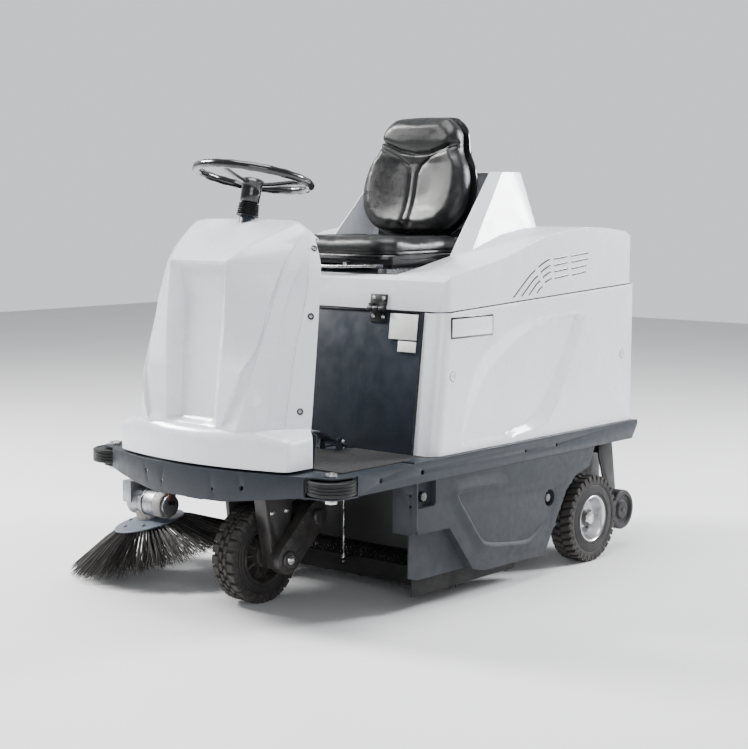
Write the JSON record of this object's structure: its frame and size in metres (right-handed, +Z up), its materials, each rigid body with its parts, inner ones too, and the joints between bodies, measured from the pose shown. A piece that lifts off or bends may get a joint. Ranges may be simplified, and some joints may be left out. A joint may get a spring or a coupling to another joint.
{
  "type": "ride-on sweeper",
  "caption": "Compact ride-on floor sweeper with a steered driven front wheel, a tilting hood with the seat, a cylindrical main brush, a side brush and a rear debris hopper.",
  "frame": {"origin": "on the floor, under the middle of the whole outline", "axes": "+Y towards the rear of the machine, +X towards the driver's left, +Z up"},
  "size_m": [1.1368, 1.508, 1.3053],
  "materials": {
    "frame_paint": "satin slate grey paint",
    "skirt_plastic": "moulded dark grey plastic",
    "white_shell": "glossy cool white moulding",
    "dark_panel": "satin dark grey paint",
    "black_plastic": "fine grained black plastic",
    "mat_rubber": "ribbed black rubber",
    "flap_rubber": "dusty black rubber",
    "tyre_rubber": "black rubber with dusty lugs",
    "rim_silver": "satin silver",
    "rim_black": "satin black paint",
    "zinc_steel": "bright zinc plating",
    "brush_steel": "galvanised",
    "bristle": "black brown bristle",
    "seat_vinyl": "black grained vinyl"
  },
  "bodies": {
    "chassis": {"side_rails": "frame_paint", "front_plate": "frame_paint", "frame_crossbars": "frame_paint", "roller_bolts": "zinc_steel", "deck_plate": "frame_paint", "floor_mat": "mat_rubber", "slewing_bearing": "zinc_steel", "bulkhead_panel": "dark_panel", "steering_cover": "white_shell", "dash_panel": "dark_panel", "panel_screws": "zinc_steel", "column_tube": "dark_panel", "column_boot": "black_plastic", "steering_chain": "zinc_steel", "left_body_panel": "white_shell", "right_body_panel": "white_shell", "rear_body_panel": "white_shell", "hinge_lower_leaves": "black_plastic", "left_skirt": "skirt_plastic", "right_skirt": "skirt_plastic", "skirt_knobs": "black_plastic", "brush_housing": "dark_panel", "side_flaps": "flap_rubber", "axle_stubs": "zinc_steel", "battery_pack": "black_plastic", "fan_unit": "black_plastic"},
    "steering_wheel_body": {"steering_wheel": "black_plastic", "steering_shaft": "zinc_steel"},
    "steer_sprocket_body": {"steer_sprocket": "zinc_steel"},
    "fork_body": {"fork": "dark_panel", "chain_case": "dark_panel", "drive_motor": "rim_black"},
    "front_wheel": {"front_tyre": "tyre_rubber", "front_rim": "rim_black", "front_axle": "zinc_steel"},
    "rear_left_wheel": {"left_tyre": "tyre_rubber", "left_rim": "rim_silver"},
    "rear_right_wheel": {"right_tyre": "tyre_rubber", "right_rim": "rim_silver"},
    "side_brush_carrier": {"side_brush_arm": "brush_steel", "side_brush_motor": "brush_steel"},
    "side_brush": {"side_brush_disc": "frame_paint", "side_brush_bristles": "bristle"},
    "main_brush_body": {"main_brush": "bristle"},
    "front_flap_body": {"front_flap": "flap_rubber"},
    "flap_cable_body": {"flap_cable": "zinc_steel"},
    "flap_pedal_body": {"flap_pedal": "dark_panel"},
    "drive_pedal_body": {"drive_pedal": "dark_panel"},
    "key_body": {"key_switch": "zinc_steel"},
    "hood_body": {"hood": "white_shell", "hinge_upper_leaves": "black_plastic", "seat_rails": "zinc_steel"},
    "seat_body": {"seat_frame": "black_plastic", "seat_cushion": "seat_vinyl", "seat_back": "seat_vinyl"},
    "left_roller_body": {"left_roller": "mat_rubber"},
    "right_roller_body": {"right_roller": "mat_rubber"},
    "hopper_body": {"hopper_bin": "black_plastic"},
    "hopper_left_wheel_body": {"hopper_left_wheel": "mat_rubber"},
    "hopper_right_wheel_body": {"hopper_right_wheel": "mat_rubber"}
  },
  "joints": [
    {"name": "fork_steer", "type": "hinge", "parent": "chassis", "child": "fork_body", "pos_m": [0.117, -0.495, 0.35], "axis": [0, 0, 1], "range_deg": [-45, 45]},
    {"name": "steering_wheel_turn", "type": "hinge", "parent": "chassis", "child": "steering_wheel_body", "pos_m": [0.117, -0.652, 0.45], "axis": [0, 0.2284, 0.9736], "range_deg": [-180, 180]},
    {"name": "steer_sprocket_turn", "type": "hinge", "parent": "chassis", "child": "steer_sprocket_body", "pos_m": [0.117, -0.652, 0.346], "axis": [0, 0, 1], "range_deg": [-180, 180]},
    {"name": "front_wheel_spin", "type": "hinge", "parent": "fork_body", "child": "front_wheel", "pos_m": [0.117, -0.495, 0.127], "axis": [1, 0, 0], "continuous": true},
    {"name": "rear_left_wheel_spin", "type": "hinge", "parent": "chassis", "child": "rear_left_wheel", "pos_m": [0.505, 0.486, 0.127], "axis": [1, 0, 0], "continuous": true},
    {"name": "rear_right_wheel_spin", "type": "hinge", "parent": "chassis", "child": "rear_right_wheel", "pos_m": [-0.271, 0.486, 0.127], "axis": [1, 0, 0], "continuous": true},
    {"name": "side_brush_lift", "type": "hinge", "parent": "chassis", "child": "side_brush_carrier", "pos_m": [-0.153, -0.464, 0.328], "axis": [0, 1, 0], "range_deg": [0, 12]},
    {"name": "side_brush_spin", "type": "hinge", "parent": "side_brush_carrier", "child": "side_brush", "pos_m": [-0.333, -0.464, 0.152], "axis": [-0.1354, -0.1797, 0.9744], "continuous": true},
    {"name": "main_brush_spin", "type": "hinge", "parent": "chassis", "child": "main_brush_body", "pos_m": [0.117, -0.077, 0.142], "axis": [1, 0, 0], "continuous": true},
    {"name": "flap_pedal_press", "type": "hinge", "parent": "chassis", "child": "flap_pedal_body", "pos_m": [0.227, -0.322, 0.42], "axis": [1, 0, 0], "range_deg": [0, 20], "stiffness_Nm_per_rad": 2, "springref_deg": -11.46},
    {"name": "front_flap_swing", "type": "hinge", "parent": "chassis", "child": "front_flap_body", "pos_m": [0.117, -0.242, 0.094], "axis": [-1, 0, 0], "range_deg": [0, 24]},
    {"name": "flap_cable_pull", "type": "slide", "parent": "chassis", "child": "flap_cable_body", "axis": [0, 0, 1], "range_m": [0, 0.0151]},
    {"name": "drive_pedal_press", "type": "hinge", "parent": "chassis", "child": "drive_pedal_body", "pos_m": [-0.033, -0.392, 0.408], "axis": [1, 0, 0], "range_deg": [0, 15], "stiffness_Nm_per_rad": 5, "springref_deg": -8.59},
    {"name": "key_turn", "type": "hinge", "parent": "chassis", "child": "key_body", "pos_m": [0.237, -0.5193, 0.9], "axis": [0, 0.9884, -0.1518], "range_deg": [0, 90]},
    {"name": "hood_tilt", "type": "hinge", "parent": "chassis", "child": "hood_body", "pos_m": [0.117, -0.234, 0.77], "axis": [1, 0, 0], "range_deg": [0, 45]},
    {"name": "seat_slide", "type": "slide", "parent": "hood_body", "child": "seat_body", "axis": [0, -1, 0], "range_m": [0, 0.12]},
    {"name": "left_roller_spin", "type": "hinge", "parent": "chassis", "child": "left_roller_body", "pos_m": [0.508, -0.635, 0.368], "axis": [0, 0, 1], "continuous": true},
    {"name": "right_roller_spin", "type": "hinge", "parent": "chassis", "child": "right_roller_body", "pos_m": [-0.274, -0.635, 0.368], "axis": [0, 0, 1], "continuous": true},
    {"name": "hopper_slide", "type": "slide", "parent": "chassis", "child": "hopper_body", "axis": [0, 1, 0], "range_m": [0, 0.45]},
    {"name": "hopper_left_wheel_spin", "type": "hinge", "parent": "hopper_body", "child": "hopper_left_wheel_body", "pos_m": [0.497, 0.694, 0.12], "axis": [1, 0, 0], "continuous": true},
    {"name": "hopper_right_wheel_spin", "type": "hinge", "parent": "hopper_body", "child": "hopper_right_wheel_body", "pos_m": [-0.263, 0.694, 0.12], "axis": [1, 0, 0], "continuous": true}
  ],
  "couplings": [
    {"joint": "steering_wheel_turn", "follows": "fork_steer", "ratio": 4},
    {"joint": "steer_sprocket_turn", "follows": "fork_steer", "ratio": 4},
    {"joint": "front_flap_swing", "follows": "flap_pedal_press", "ratio": 1.2},
    {"joint": "flap_cable_pull", "follows": "flap_pedal_press", "m_per_rad": 0.043}
  ]
}
